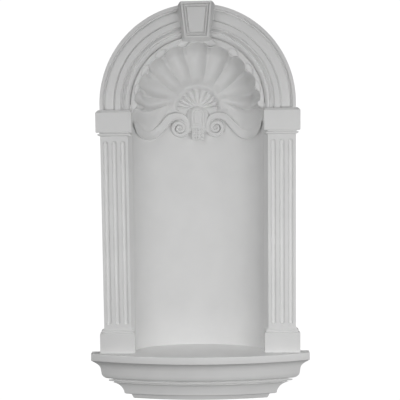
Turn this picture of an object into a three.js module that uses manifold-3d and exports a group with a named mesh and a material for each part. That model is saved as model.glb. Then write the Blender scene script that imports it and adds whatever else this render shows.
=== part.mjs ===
// Wall niche with a shell head, fluted pilasters and a moulded shelf, cast in one piece.
// Millimetres, Z up, front towards -Y. Y = 0 is the wall face that the frame lies against.
// The origin is on the flat back of the frame, behind the keystone.
import * as THREE from "three";
import { mergeVertices } from "three/addons/utils/BufferGeometryUtils.js";
import Module from "manifold-3d";

const wasm = await Module();
wasm.setup();

// Heights are taken from the top of the shelf.
const ORIGIN_Z = 795;
const ARCH_Z = 594;
const FAN_Z = 586;

// Opening and recess
const OPENING_HALF = 156.5;
const RECESS_DEPTH = 86;
const WALL = 10;
const FLOOR_THICK = 12;
const SHELL_BACKING = 8;

// Arch moulding
const ARCH_OUTER = 231;
const ARCH_PROUD = 18;
const ARCH_STEPS = 32;

// Pilasters
const SHAFT_OUTER = 231;
const SHAFT_INNER = 165;
const SHAFT_PROUD = 17;
const BLOCK_OUTER = 241;
const BLOCK_PROUD = 23.5;
const PLINTH_TOP = 46.5;
const SHAFT_BOTTOM = 59.5;
const SHAFT_TOP = 520.5;
const CAPITAL_BOTTOM = 530.5;
const CAPITAL_TOP = 576.5;
const CAPITAL_BEVEL = 6;
const FLUTE_COUNT = 3;
const FLUTE_PITCH = 20.4;
const FLUTE_WIDTH = 12.4;
const FLUTE_DEPTH = 5;
const FLUTE_BOTTOM = 68;
const FLUTE_TOP = 509;

// Shell head
const SCALLOP_CUSP = 141;
const SCALLOP_TIP = 150;
const FINGER = 0.8;
const RIB_ANGLES = [12, 34, 54, 72.5, 87, 103];
const LOBE_DEPTH = 14;
const LOBE_START = 52;
const LOBE_FULL = 118;
const LIP_OUTER = 157.5;
const LIP_PROUD = 5;
const LIP_END_Z = 574;

// Little fan, bracket and scrolls on the back of the recess
const FAN_RADIUS = 48;
const FAN_RIBS = 11;
const RIM_RADIUS = 57;
const RIM_SIZE = 6;
const BRACKET_WIDTH = 34;
const BRACKET_FOOT = 511;
const BRACKET_BAND_RISE = 33;
const BRACKET_HOOD_RISE = 47;
const BRACKET_PROUD = 18;
const WEB_HALF = 28;
const WEB_PROUD = 11;
const SCROLL_X = 45;
const SCROLL_Z = 541;
const SCROLL_SIZE = 21.5;
const SCROLL_PROUD = 10;
const BOSS_LENGTH = 11;
const BOSS_PROUD = 5;

// Keystone
const KEY_TOP = 826.5;
const KEY_BOTTOM = 744;
const KEY_TOP_HALF = 36;
const KEY_BOTTOM_HALF = 27.5;
const KEY_PROUD = 40;
const KEY_FLARE = 12;
const KEY_TOP_FLARE = 4;
const KEY_SHOULDER = 9;
const KEY_FOOT_SHARE = 0.6;

// Shelf
const SHELF_HALF = 263;
const SHELF_FRONT = 78;
const SHELF_END = 28.5;
const SHELF_HEIGHT = 116.5;
const SHELF_RUN = 130;
const SHELF_STEPS = 16;

const BRACKET_BAND = BRACKET_FOOT + BRACKET_BAND_RISE;
const BRACKET_TOP = BRACKET_BAND + BRACKET_HOOD_RISE;
const SHELF_BOW = SHELF_FRONT - SHELF_END;
const SHELF_RADIUS = (SHELF_HALF ** 2 + SHELF_BOW ** 2) / (2 * SHELF_BOW);
const SHELF_CENTRE = SHELF_RADIUS - SHELF_FRONT;
const rad = THREE.MathUtils.degToRad;

// A closed solid from points and triangles, turned so that its faces look out.
function solid(points, triangles) {
  let volume = 0;
  for (const [a, b, c] of triangles) {
    const p = new THREE.Vector3(...points[a]);
    const q = new THREE.Vector3(...points[b]);
    const r = new THREE.Vector3(...points[c]);
    volume += p.dot(q.cross(r));
  }
  const order = volume < 0 ? triangles.map(([a, b, c]) => [a, c, b]) : triangles;
  const geometry = new THREE.BufferGeometry();
  geometry.setAttribute("position", new THREE.Float32BufferAttribute(points.flat(), 3));
  geometry.setIndex(order.flat());
  return manifold(geometry);
}

// The manifold body of a three.js geometry.
function manifold(geometry) {
  const bare = new THREE.BufferGeometry();
  bare.setAttribute("position", geometry.getAttribute("position"));
  bare.setIndex(geometry.index);
  const merged = mergeVertices(bare, 1e-3);
  const index = merged.index.array;
  const at = merged.attributes.position.array;
  const kept = [];
  for (let i = 0; i < index.length; i += 3) {
    const [a, b, c] = [index[i], index[i + 1], index[i + 2]];
    if (a !== b && b !== c && a !== c) kept.push(a, b, c);
  }
  const mesh = new wasm.Mesh({
    numProp: 3,
    vertProperties: at,
    triVerts: new Uint32Array(kept),
  });
  return new wasm.Manifold(mesh);
}

// Rings of points joined one to the next, the first and last filled in by the flat outline.
function loft(rings, outline) {
  const n = outline.length;
  const points = rings.flat();
  const triangles = [];
  for (let i = 0; i + 1 < rings.length; i++)
    for (let j = 0; j < n; j++) {
      const a = i * n + j;
      const b = i * n + ((j + 1) % n);
      triangles.push([a, b, b + n], [a, b + n, a + n]);
    }
  const flat = outline.map(([u, v]) => new THREE.Vector2(u, v));
  const last = (rings.length - 1) * n;
  const way = Math.sign(THREE.ShapeUtils.area(flat));
  for (const face of THREE.ShapeUtils.triangulateShape(flat, [])) {
    const same = Math.sign(THREE.ShapeUtils.area(face.map((k) => flat[k]))) === way;
    const [a, b, c] = same ? face : [face[0], face[2], face[1]];
    triangles.push([a, c, b], [last + a, last + b, last + c]);
  }
  return solid(points, triangles);
}

// A box from its low and high corner.
function box(low, high) {
  const size = high.map((h, i) => h - low[i]);
  const geometry = new THREE.BoxGeometry(...size);
  geometry.translate(...low.map((l, i) => l + size[i] / 2));
  return manifold(geometry);
}

function join(solids) {
  return solids.reduce((a, b) => a.add(b));
}

// A section of [radius, proud] pairs taken up one leg of the arch, round it and down the other.
function archSweep(section, legEnd, steps) {
  const rings = [];
  rings.push(section.map(([r, p]) => [-r, -p, legEnd]));
  for (let i = 0; i <= steps; i++) {
    const a = Math.PI * (1 - i / steps);
    rings.push(section.map(([r, p]) => [r * Math.cos(a), -p, ARCH_Z + r * Math.sin(a)]));
  }
  rings.push(section.map(([r, p]) => [r, -p, legEnd]));
  return loft(rings, section);
}

// A quarter turn of points from one corner to another, bulging towards the elbow.
function quarter(from, to, elbow, steps) {
  const points = [];
  for (let i = 0; i <= steps; i++) {
    const t = (i / steps) * (Math.PI / 2);
    const wf = 1 - Math.sin(t);
    const wt = 1 - Math.cos(t);
    const we = 1 - wf - wt;
    points.push([0, 1].map((k) => wf * from[k] + wt * to[k] + we * elbow[k]));
  }
  return points;
}

// Arch moulding: fillet, sunk band, raised fascia, a groove with a sharp edge, and a round that
// falls to the lip of the shell. Its inner foot reaches into the back, behind the wall face.
function archMoulding() {
  const R = ARCH_OUTER;
  const P = ARCH_PROUD;
  const section = [
    [R, 0],
    [R, P - 0.8],
    [R - 0.8, P],
    [R - 7.6, P],
    [R - 9, P - 11],
    [R - 11, P - 12],
    [R - 13.4, P - 8.9],
    [R - 17.5, P - 7.6],
    [R - 28, P - 7.4],
    [R - 32, P - 8.4],
    [R - 35.2, P - 10.2],
    [R - 37.2, P - 2.8],
    [R - 48.6, P - 2.8],
    [R - 51, P - 11],
    [R - 53, P - 11],
    [R - 54.2, P - 7.2],
    [R - 59, P - 3.4],
    [R - 60.2, P - 3.6],
    [R - 61.8, P - 6.2],
    [R - 63.4, P - 5],
    ...quarter([R - 65, P - 5], [R - 72, -1], [R - 71.5, P - 6], 3),
    [R - 76, -1.5],
    [R - 76, -4],
    [R - 62, -4],
    [R - 62, 0],
  ];
  return archSweep(section, CAPITAL_TOP + 1, ARCH_STEPS);
}

// A pilaster on one side: levels of [height, outer edge, inner edge, how far it stands out].
function pilaster(side) {
  const o = BLOCK_OUTER;
  const i = OPENING_HALF - 0.3;
  const p = BLOCK_PROUD;
  const b = CAPITAL_BEVEL;
  const levels = [
    [-1, o, i, p],
    [PLINTH_TOP, o, i, p],
    [PLINTH_TOP + 2, o - 1.6, i + 1.6, p - 1.6],
    [PLINTH_TOP + 2.4, o - 5.2, i + 5.2, p - 5.2],
    [PLINTH_TOP + 4, o - 5.2, i + 5.2, p - 5.2],
    [PLINTH_TOP + 4.4, o - 3.8, i + 3.8, p - 3.8],
    [SHAFT_BOTTOM - 4.6, o - 3.8, i + 3.8, p - 3.8],
    [SHAFT_BOTTOM - 4, o - 6.4, i + 6, p - 5.6],
    [SHAFT_BOTTOM, SHAFT_OUTER, SHAFT_INNER, SHAFT_PROUD],
    [SHAFT_TOP, SHAFT_OUTER, SHAFT_INNER, SHAFT_PROUD],
    [SHAFT_TOP + 0.4, o - 10.4, i + 9, p - 7.8],
    [SHAFT_TOP + 2.4, o - 4.4, i + 4.4, p - 3.4],
    [CAPITAL_BOTTOM - 4.2, o - 4, i + 4, p - 3.2],
    [CAPITAL_BOTTOM - 3.6, o - 8, i + 8, p - 8],
    [CAPITAL_BOTTOM - 0.4, o - 8, i + 8, p - 8],
    [CAPITAL_BOTTOM, o, i, p],
    [CAPITAL_TOP, o, i, p],
    [CAPITAL_TOP + b, o - b, i + 0.6 * b, p - b],
  ];
  const rings = levels.map(([z, outer, inner, proud]) => [
    [side * (outer + 0.8), 0, z],
    [side * outer, -proud, z],
    [side * inner, -proud, z],
    [side * Math.min(inner, OPENING_HALF), 0, z],
  ]);
  const outline = [
    [3, 0],
    [3, 1],
    [0, 1],
    [0, 0],
  ];
  let body = loft(rings, outline);
  const radius = (FLUTE_WIDTH ** 2 / 4 + FLUTE_DEPTH ** 2) / (2 * FLUTE_DEPTH);
  const middle = (SHAFT_OUTER + SHAFT_INNER) / 2;
  for (let k = 0; k < FLUTE_COUNT; k++) {
    const x = side * (middle + (k - (FLUTE_COUNT - 1) / 2) * FLUTE_PITCH);
    const length = FLUTE_TOP - FLUTE_BOTTOM - FLUTE_WIDTH;
    const cutter = new THREE.CapsuleGeometry(radius, length, 4, 14);
    cutter.rotateX(Math.PI / 2);
    cutter.translate(x, -SHAFT_PROUD - radius + FLUTE_DEPTH, (FLUTE_TOP + FLUTE_BOTTOM) / 2);
    body = body.subtract(manifold(cutter));
  }
  return body;
}

// How deep the plain recess is at a distance from its middle line. Its floor plan is half an oval.
function recessY(s) {
  return RECESS_DEPTH * Math.sqrt(Math.max(0, 1 - (s / OPENING_HALF) ** 2));
}

// Half an oval of [across, deep] points, from its left end to its right end.
function halfOval(half, deep, steps) {
  const points = [];
  for (let i = 0; i <= steps; i++) {
    const a = (Math.PI / 2) * ((2 * i) / steps - 1);
    points.push([half * Math.sin(a), deep * Math.cos(a)]);
  }
  points[0] = [-half, 0];
  points[steps] = [half, 0];
  return points;
}

// The lobe that a direction from the fan centre falls in, and where across it from -1 to 1.
function lobeAt(angle) {
  const a = Math.abs(angle);
  if (a <= RIB_ANGLES[0]) return a / RIB_ANGLES[0];
  for (let k = 1; k < RIB_ANGLES.length; k++)
    if (a <= RIB_ANGLES[k]) {
      const half = (RIB_ANGLES[k] - RIB_ANGLES[k - 1]) / 2;
      return (a - RIB_ANGLES[k - 1] - half) / half;
    }
  return 1;
}

function scallop(angle) {
  const across = Math.min(1, Math.abs(lobeAt(angle)) / FINGER);
  return SCALLOP_CUSP + (SCALLOP_TIP - SCALLOP_CUSP) * Math.sqrt(1 - across ** 2);
}

// Distance from the fan centre to the edge of the opening, in a direction from straight up.
function openingAt(angle) {
  const a = rad(angle);
  if (Math.abs(angle) >= 90) return OPENING_HALF / Math.abs(Math.sin(a));
  const rise = ARCH_Z - FAN_Z;
  const c = rise * Math.cos(a);
  return c + Math.sqrt(c * c + OPENING_HALF ** 2 - rise ** 2);
}

// Depth of the shell at a direction and a distance from the fan centre.
function shellY(angle, rho) {
  const share = Math.abs(angle) > 90 ? Math.abs(Math.sin(rad(angle))) : 1;
  const s = Math.abs(angle) > 90 ? rho * share : (rho * OPENING_HALF) / openingAt(angle);
  const grow = THREE.MathUtils.smoothstep(rho, LOBE_START, LOBE_FULL);
  const narrow = 1 - (1 - FINGER) * THREE.MathUtils.smoothstep(rho, 100, 136);
  const u = Math.min(1, Math.abs(lobeAt(angle)) / narrow);
  const below = THREE.MathUtils.smoothstep(Math.abs(angle), 90, 94);
  return recessY(s) + LOBE_DEPTH * grow * (1 - u * u) - 0.8 * below;
}

// The hollow of the shell: lobes spreading from the fan centre, each with a rounded end.
function shellHollow() {
  const front = -60;
  const angles = [];
  const edges = [...RIB_ANGLES].reverse().map((a) => -a).concat(RIB_ANGLES);
  const across = [0, 0.12, 0.36, 0.64, 0.88];
  for (let k = 0; k + 1 < edges.length; k++)
    for (const t of across) angles.push(edges[k] + (edges[k + 1] - edges[k]) * t);
  angles.push(edges[edges.length - 1]);
  const shares = [0.3, 0.46, 0.62, 0.76, 0.87, 0.94, 0.975];
  const points = [
    [0, shellY(0, 0), FAN_Z],
    [0, front, FAN_Z],
  ];
  const columns = angles.map((angle) => {
    const a = rad(angle);
    const edge = scallop(angle);
    const column = shares.map((share) => {
      const rho = share * edge;
      const rounding = share > 0.94 ? 2.5 : 0;
      points.push([rho * Math.sin(a), shellY(angle, rho) - rounding, FAN_Z + rho * Math.cos(a)]);
      return points.length - 1;
    });
    for (const [rho, y] of [
      [edge, Math.max(3, shellY(angle, edge * 0.96) - 8)],
      [edge + 0.6, 0],
      [edge + 2.4, -LIP_PROUD],
      [edge + 2.4, front],
    ]) {
      points.push([rho * Math.sin(a), y, FAN_Z + rho * Math.cos(a)]);
      column.push(points.length - 1);
    }
    return column;
  });
  const triangles = [];
  const last = columns[0].length - 1;
  for (let k = 0; k + 1 < columns.length; k++) {
    const [c, d] = [columns[k], columns[k + 1]];
    triangles.push([0, d[0], c[0]]);
    for (let j = 0; j < last; j++) {
      triangles.push([c[j], d[j], d[j + 1]]);
      triangles.push([c[j], d[j + 1], c[j + 1]]);
    }
    triangles.push([1, c[last], d[last]]);
  }
  const [c, d] = [columns[0], columns[columns.length - 1]];
  for (let j = 0; j < last; j++) {
    triangles.push([1, c[j], c[j + 1]]);
    triangles.push([1, d[j + 1], d[j]]);
  }
  triangles.push([1, 0, c[0]], [1, d[0], 0]);
  return solid(points, triangles);
}

// The plain hollow below the shell, open to the front.
function lowerHollow() {
  const plan = halfOval(OPENING_HALF, RECESS_DEPTH, 28);
  plan.push([SHAFT_INNER + 4, -25], [-SHAFT_INNER - 4, -25]);
  const rings = [0, FAN_Z].map((z) => plan.map(([x, y]) => [x, y, z]));
  return loft(rings, plan);
}

// Back of the recess: a bowed wall with a domed head, thicker behind the carved shell.
function backing() {
  const half = OPENING_HALF + WALL;
  const deep = RECESS_DEPTH + WALL;
  const plan = halfOval(half, deep, 24);
  plan.push([half, -3], [-half, -3]);
  const wall = loft([-FLOOR_THICK, ARCH_Z].map((z) => plan.map(([x, y]) => [x, y, z])), plan);
  const edge = half + SHELL_BACKING;
  const foot = ARCH_OUTER - 64;
  const profile = [[0, 1], [foot, 1], [foot, -3], [edge, -3]].map((p) => new THREE.Vector2(...p));
  const steps = 8;
  for (const [x, y] of halfOval(edge, deep + SHELL_BACKING, 2 * steps).slice(steps).reverse())
    profile.push(new THREE.Vector2(x, y));
  const cap = new THREE.LatheGeometry(profile, 32);
  cap.translate(0, 0, ARCH_Z);
  return wall.add(outward(cap));
}

// A lathe body, its faces turned out whichever way its profile runs.
function outward(geometry) {
  const at = mergeVertices(geometry.clone().deleteAttribute("uv").deleteAttribute("normal"), 1e-3);
  const p = at.attributes.position;
  const points = [];
  for (let i = 0; i < p.count; i++) points.push([p.getX(i), p.getY(i), p.getZ(i)]);
  const triangles = [];
  const index = at.index.array;
  for (let i = 0; i < index.length; i += 3) {
    const t = [index[i], index[i + 1], index[i + 2]];
    if (new Set(t).size === 3) triangles.push(t);
  }
  return solid(points, triangles);
}

// The rolled lip of the shell, before the lobes are cut out of it.
function lip() {
  const P = LIP_PROUD;
  const section = [
    [LIP_OUTER, 1],
    [LIP_OUTER - 3, P - 1],
    [LIP_OUTER - 8, P],
    [LIP_OUTER - 20, P - 1.5],
    [LIP_OUTER - 36, 0],
    [LIP_OUTER - 36, -44],
    [LIP_OUTER, -14],
  ];
  const ring = archSweep(section, ARCH_Z - 1, 24);
  const legs = [-1, 1].map((side) => {
    const rings = [
      [LIP_END_Z, 154, 159.5, 1],
      [LIP_END_Z + 1.5, 152, 160.5, 3.4],
      [LIP_END_Z + 5, 150, LIP_OUTER, P],
      [ARCH_Z, 142, LIP_OUTER, P],
    ].map(([z, inner, outer, proud]) => [
      [side * inner, 9, z],
      [side * inner, -proud + 2, z],
      [side * (inner + 2), -proud, z],
      [side * (outer - 1.5), -proud, z],
      [side * outer, -proud + 2.5, z],
      [side * outer, 3, z],
    ]);
    return loft(rings, [[0, 3], [0, 1], [1, 0], [4, 0], [5, 1], [5, 3]]);
  });
  return join([ring, ...legs]);
}

// Half of a round bar with its foot sunk in the wall: [across, up].
const RIDGE = [
  [-1, -6],
  [-1, 0.1],
  [-0.55, 0.85],
  [0.55, 0.85],
  [1, 0.1],
  [1, -6],
];

// A rounded ridge laid on a wall along a path of [x, z, lift, half width, height].
function ridge(path, wallAt) {
  const rings = path.map(([x, z, lift, half, height], i) => {
    const [bx, bz] = path[Math.max(0, i - 1)];
    const [nx, nz] = path[Math.min(path.length - 1, i + 1)];
    const along = new THREE.Vector2(nx - bx, nz - bz).normalize();
    const across = [-along.y, along.x];
    return RIDGE.map(([u, h]) => {
      const px = x + across[0] * u * half;
      const pz = z + across[1] * u * half;
      return [px, wallAt(px, pz) - lift - (h < 0 ? h : h * height), pz];
    });
  });
  return loft(rings, RIDGE);
}

// A scroll: an eye, a curl that opens out, and the long arm that sweeps down and up to the side.
function scroll(side) {
  const steps = 17;
  const inner = [];
  for (let i = 0; i <= steps; i++) {
    const t = i / steps;
    const a = rad(90 - 540 * t);
    const r = SCROLL_SIZE * (0.25 + 0.75 * t);
    const x = side * (SCROLL_X + r * Math.cos(a));
    inner.push([x, SCROLL_Z + r * Math.sin(a), 5 - 5 * t, 2.6 + 1.4 * t, SCROLL_PROUD]);
  }
  const arm = new THREE.CatmullRomCurve3(
    [
      [SCROLL_X - 1, SCROLL_Z - SCROLL_SIZE, 3.6],
      [SCROLL_X - 16, SCROLL_Z - 13.5, 4.2],
      [SCROLL_X - 20.5, SCROLL_Z + 5, 5.2],
      [SCROLL_X - 14.5, SCROLL_Z + 22, 6.6],
      [SCROLL_X, SCROLL_Z + 29, 8.6],
      [SCROLL_X + 21, SCROLL_Z + 25.5, 9.6],
      [SCROLL_X + 41, SCROLL_Z + 5, 10],
      [SCROLL_X + 59, SCROLL_Z - 12.5, 11],
      [SCROLL_X + 75, SCROLL_Z - 18.5, 11.5],
      [SCROLL_X + 90, SCROLL_Z - 12, 9.5],
      [SCROLL_X + 99, SCROLL_Z + 1, 6.5],
      [SCROLL_X + 104, SCROLL_Z + 14, 4],
    ].map(([x, z, w]) => new THREE.Vector3(x, z, w)),
  );
  const outer = arm.getPoints(20).map((p) => [side * p.x, p.y, 0, p.z, SCROLL_PROUD]);
  const boss = new THREE.CylinderGeometry(SCROLL_SIZE + 1, SCROLL_SIZE - 2, BOSS_LENGTH, 18);
  boss.translate(side * SCROLL_X, recessY(SCROLL_X) + BOSS_LENGTH / 2 - BOSS_PROUD, SCROLL_Z);
  return join([ridge(inner, recessY), ridge(outer, recessY), manifold(boss)]);
}

// The bracket under the fan, with a round hood, a band and a rounded foot.
function bracket() {
  const h = BRACKET_WIDTH / 2;
  const plate = (top, foot, half, proud) => {
    const outline = [];
    for (let i = 0; i <= 8; i++) {
      const a = (Math.PI * i) / 8;
      outline.push([half * Math.cos(a), top - half + half * Math.sin(a)]);
    }
    outline.push([-half, foot], [half, foot]);
    const rings = [
      [proud, 0.8],
      [proud - 2, 1],
      [-4, 1],
    ].map(([p, s]) =>
      outline.map(([x, z]) => [x * s, RECESS_DEPTH - p, foot + (z - foot) * s]),
    );
    return loft(rings, outline);
  };
  const upper = plate(BRACKET_TOP, BRACKET_BAND, h * 0.86, BRACKET_PROUD);
  const hood = plate(BRACKET_TOP + 3, BRACKET_BAND + BRACKET_HOOD_RISE / 3, h, BRACKET_PROUD - 4);
  const web = plate(BRACKET_TOP + 5, BRACKET_FOOT + 18, WEB_HALF, WEB_PROUD);
  const front = RECESS_DEPTH - BRACKET_PROUD;
  const back = RECESS_DEPTH + 3;
  const band = box([-h, front + 1, BRACKET_BAND - 3], [h, back, BRACKET_BAND + 2]);
  const foot = box([-h + 3, front + 3, BRACKET_FOOT + 4], [h - 3, back, BRACKET_BAND]);
  const toe = new THREE.CylinderGeometry(7, 7, BRACKET_WIDTH - 2, 12);
  toe.rotateZ(Math.PI / 2);
  toe.translate(0, RECESS_DEPTH - 7, BRACKET_FOOT + 7);
  return join([web, upper, hood, band, foot, manifold(toe)]);
}

// The little fan: short ribs from the bracket's hood, and a rim around them.
function fan() {
  const head = (x, z) => recessY(Math.hypot(x, z - FAN_Z)) + 1;
  const ribs = [];
  for (let k = 0; k < FAN_RIBS; k++) {
    const a = rad(-90 + (180 * k) / (FAN_RIBS - 1));
    const path = [0.3, 0.75, 1].map((share) => share * FAN_RADIUS).map((rho, i) => [
      rho * Math.sin(a),
      FAN_Z + rho * Math.cos(a),
      0,
      [1.6, 4, 3][i],
      [6, 5.5, 2.5][i],
    ]);
    ribs.push(ridge(path, head));
  }
  const rim = [];
  for (let i = 0; i <= 22; i++) {
    const a = rad(-92 + (184 * i) / 22);
    const rho = RIM_RADIUS + 1.5 * Math.cos(a * 22);
    rim.push([rho * Math.sin(a), FAN_Z + rho * Math.cos(a), 0, RIM_SIZE, 5]);
  }
  return join([...ribs, ridge(rim, head)]);
}

// Keystone: a tapered block with a framed panel, flaring towards the wall.
function keystone() {
  const slope = (KEY_TOP_HALF - KEY_BOTTOM_HALF) / (KEY_TOP - KEY_BOTTOM);
  const P = KEY_PROUD;
  const level = (inset, y, out) => {
    const top = KEY_TOP - inset + Math.min(out, KEY_TOP_FLARE);
    const foot = KEY_BOTTOM + inset - out * 0.35;
    const half = (z, flare) => KEY_BOTTOM_HALF + (z - KEY_BOTTOM) * slope - inset + flare;
    const shoulder = KEY_TOP - KEY_SHOULDER - inset;
    const right = [
      [half(foot, out * KEY_FOOT_SHARE), -y, foot],
      [half(shoulder, out), -y, shoulder],
      [half(top, Math.min(out, KEY_TOP_FLARE)), -y, top],
    ];
    return [...right, ...right.map(([x, , z]) => [-x, -y, z]).reverse()];
  };
  const rings = [
    level(0, 0, KEY_FLARE),
    level(0, P - 1, 0.2),
    level(0.8, P, 0),
    level(3.8, P, 0),
    level(5.2, P - 4.4, 0),
    level(6.6, P - 4.4, 0),
    level(7.6, P - 0.8, 0),
    level(9.2, P - 0.8, 0),
    level(10.6, P - 4.4, 0),
    level(12, P - 4.4, 0),
    level(13.2, P - 1.2, 0),
  ];
  const outline = [
    [1, 0],
    [1.15, 1],
    [1.2, 2],
    [-1.2, 2],
    [-1.15, 1],
    [-1, 0],
  ];
  return loft(rings, outline);
}

// Shelf mouldings: [set back from the front edge, depth below the top].
function shelf() {
  const section = [
    [1.4, 0],
    [0.3, 1.2],
    [0, 16.4],
    [1.5, 17.8],
    [19, 17.2],
    [19, 19.8],
    ...quarter([15.5, 20.4], [33.6, 45], [33.6, 20.4], 4),
    ...quarter([34, 52], [40.4, 67.4], [34, 67.4], 3),
    [43.4, 67.6],
    [43.4, 69.4],
    [40, 69.8],
    [40.2, 73.6],
    [44, 74],
    [44.6, 76.4],
    ...quarter([42.6, 77], [51.7, 104], [51.2, 78], 3),
    [56.3, 106.6],
    [57.6, SHELF_HEIGHT],
    [SHELF_RUN, SHELF_HEIGHT],
    [SHELF_RUN, 0],
  ];
  const rings = [];
  for (let i = 0; i <= SHELF_STEPS; i++) {
    const a = rad(25) * ((2 * i) / SHELF_STEPS - 1);
    rings.push(
      section.map(([d, down]) => [
        (SHELF_RADIUS - d) * Math.sin(a),
        SHELF_CENTRE - (SHELF_RADIUS - d) * Math.cos(a),
        -down,
      ]),
    );
  }
  const room = box([-SHELF_HALF, -2 * SHELF_FRONT, -SHELF_HEIGHT], [SHELF_HALF, 0, 0]);
  return loft(rings, section).intersect(room);
}

const lobes = shellHollow();
const recess = backing().subtract(lowerHollow()).subtract(lobes);
const carving = join([fan(), scroll(-1), scroll(1), bracket()]);
const frame = join([archMoulding(), pilaster(-1), pilaster(1), shelf(), keystone()]);
const casting = join([recess, lip().subtract(lobes), frame, carving]);

const mesh = casting.getMesh();
const stride = mesh.numProp;
const coordinates = [];
for (let i = 0; i < mesh.numVert; i++)
  coordinates.push(...mesh.vertProperties.subarray(i * stride, i * stride + 3));
const geometry = new THREE.BufferGeometry();
geometry.setAttribute("position", new THREE.Float32BufferAttribute(coordinates, 3));
geometry.setIndex(Array.from(mesh.triVerts));
geometry.translate(0, 0, -ORIGIN_Z);
geometry.computeVertexNormals();

const material = new THREE.MeshStandardMaterial({ color: 0xdcdcda, roughness: 0.6, metalness: 0 });
const niche = new THREE.Mesh(geometry, material);
niche.name = "niche";

const group = new THREE.Group();
group.add(niche);
export default group;
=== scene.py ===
# %% [markdown]
# This lesson dresses a cast wall niche: a shallow round-backed recess with a shell head, framed by
# an arch moulding, two fluted pilasters, a keystone and a moulded shelf. The real one is a single
# casting with a matte white priming coat, so here too everything ends up as one closed mesh.
# Each moulding is first made as a closed body of its own, from the same sizes as the solid model.
# Only the hollows of the shell go a little deeper here, and small hollows, beads and rounded edges
# are added. Then the bodies are joined, because a joined casting has clean creases where two forms
# meet.

# %% Open the frame
import math

import bmesh
import bpy
import numpy as np
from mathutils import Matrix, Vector


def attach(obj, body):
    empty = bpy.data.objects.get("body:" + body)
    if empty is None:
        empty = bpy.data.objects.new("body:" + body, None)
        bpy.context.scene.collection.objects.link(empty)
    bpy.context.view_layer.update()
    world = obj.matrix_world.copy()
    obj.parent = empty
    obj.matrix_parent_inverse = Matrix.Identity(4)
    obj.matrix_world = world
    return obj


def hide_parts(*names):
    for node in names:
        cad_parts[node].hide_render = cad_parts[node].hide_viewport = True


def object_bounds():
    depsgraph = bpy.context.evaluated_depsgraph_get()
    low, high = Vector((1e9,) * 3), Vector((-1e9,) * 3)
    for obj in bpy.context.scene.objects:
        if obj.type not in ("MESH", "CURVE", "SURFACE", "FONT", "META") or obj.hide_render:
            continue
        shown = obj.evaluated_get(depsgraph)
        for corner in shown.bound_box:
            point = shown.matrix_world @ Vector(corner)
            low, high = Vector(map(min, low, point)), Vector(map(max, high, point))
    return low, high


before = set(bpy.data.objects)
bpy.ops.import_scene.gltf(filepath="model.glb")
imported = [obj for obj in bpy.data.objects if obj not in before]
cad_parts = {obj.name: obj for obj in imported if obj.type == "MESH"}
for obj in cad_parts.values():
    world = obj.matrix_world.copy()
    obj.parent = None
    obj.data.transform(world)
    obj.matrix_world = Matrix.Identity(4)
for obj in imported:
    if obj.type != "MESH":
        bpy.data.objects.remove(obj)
solid_low, solid_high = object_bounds()
print("solid model from", [round(v, 3) for v in solid_low], "to", [round(v, 3) for v in solid_high])

# %% [markdown]
# All sizes are in millimetres and all heights are counted from the top of the shelf, the way a
# plasterer would set the niche out. The wall face is y = 0 and the front is towards -y. One small
# function moves finished points into the shared frame, whose origin is behind the keystone.

# %% Sizes of the casting
ORIGIN_Z = 795
ARCH_Z = 594
FAN_Z = 586

OPENING_HALF = 156.5
RECESS_DEPTH = 86
WALL = 10
FLOOR_THICK = 12
SHELL_BACKING = 8

ARCH_OUTER = 231
ARCH_PROUD = 18

SHAFT_OUTER = 231
SHAFT_INNER = 165
SHAFT_PROUD = 17
BLOCK_OUTER = 241
BLOCK_PROUD = 23.5
PLINTH_TOP = 46.5
SHAFT_BOTTOM = 59.5
SHAFT_TOP = 520.5
CAPITAL_BOTTOM = 530.5
CAPITAL_TOP = 576.5
CAPITAL_BEVEL = 6
FLUTE_PITCH = 20.4
FLUTE_WIDTH = 12.4
FLUTE_DEPTH = 5
FLUTE_BOTTOM = 68
FLUTE_TOP = 509

SCALLOP_CUSP = 141
SCALLOP_TIP = 150
RIB_ANGLES = [12, 34, 54, 72.5, 87, 103]
LOBE_DEPTH = 14
LIP_OUTER = 157.5
LIP_PROUD = 5

KEY_TOP = 826.5
KEY_BOTTOM = 744
KEY_TOP_HALF = 36
KEY_BOTTOM_HALF = 27.5
KEY_PROUD = 40
KEY_FLARE = 12
KEY_TOP_FLARE = 4
KEY_SHOULDER = 9
KEY_FOOT_SHARE = 0.6

SHELF_HALF = 263
SHELF_FRONT = 78
SHELF_END = 28.5
SHELF_HEIGHT = 116.5
SHELF_RUN = 130

SHELF_BOW = SHELF_FRONT - SHELF_END
SHELF_RADIUS = (SHELF_HALF**2 + SHELF_BOW**2) / (2 * SHELF_BOW)
SHELF_CENTRE = SHELF_RADIUS - SHELF_FRONT
print("shelf edge swept on a radius of", round(SHELF_RADIUS, 1), "mm")


# %% [markdown]
# Every body is built from plain lists of points and faces. A closed body, without holes or loose
# edges, is what the joining step needs, so the helper that makes a body counts its open edges and
# prints them. Zero is the only good answer.

# %% A closed body from points and faces
def placed(points):
    spots = np.asarray(points, dtype=float) / 1000.0
    spots[:, 2] -= ORIGIN_Z / 1000.0
    return [tuple(p) for p in spots]


def closed_body(name, points, faces, mirror=False):
    mesh = bpy.data.meshes.new(name)
    mesh.from_pydata(placed(points), [], faces)
    form = bmesh.new()
    form.from_mesh(mesh)
    if mirror:
        bmesh.ops.scale(form, vec=(-1, 1, 1), verts=form.verts)
    bmesh.ops.remove_doubles(form, verts=form.verts, dist=2e-6)
    bmesh.ops.dissolve_degenerate(form, edges=form.edges, dist=1e-6)
    bmesh.ops.recalc_face_normals(form, faces=form.faces)
    loose = sum(1 for edge in form.edges if not edge.is_manifold)
    print(name, len(form.faces), "faces,", loose, "open edges, volume",
          round(form.calc_volume(signed=True) * 1e6, 1), "cm3")
    form.to_mesh(mesh)
    form.free()
    body = bpy.data.objects.new(name, mesh)
    bpy.context.scene.collection.objects.link(body)
    return body


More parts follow.
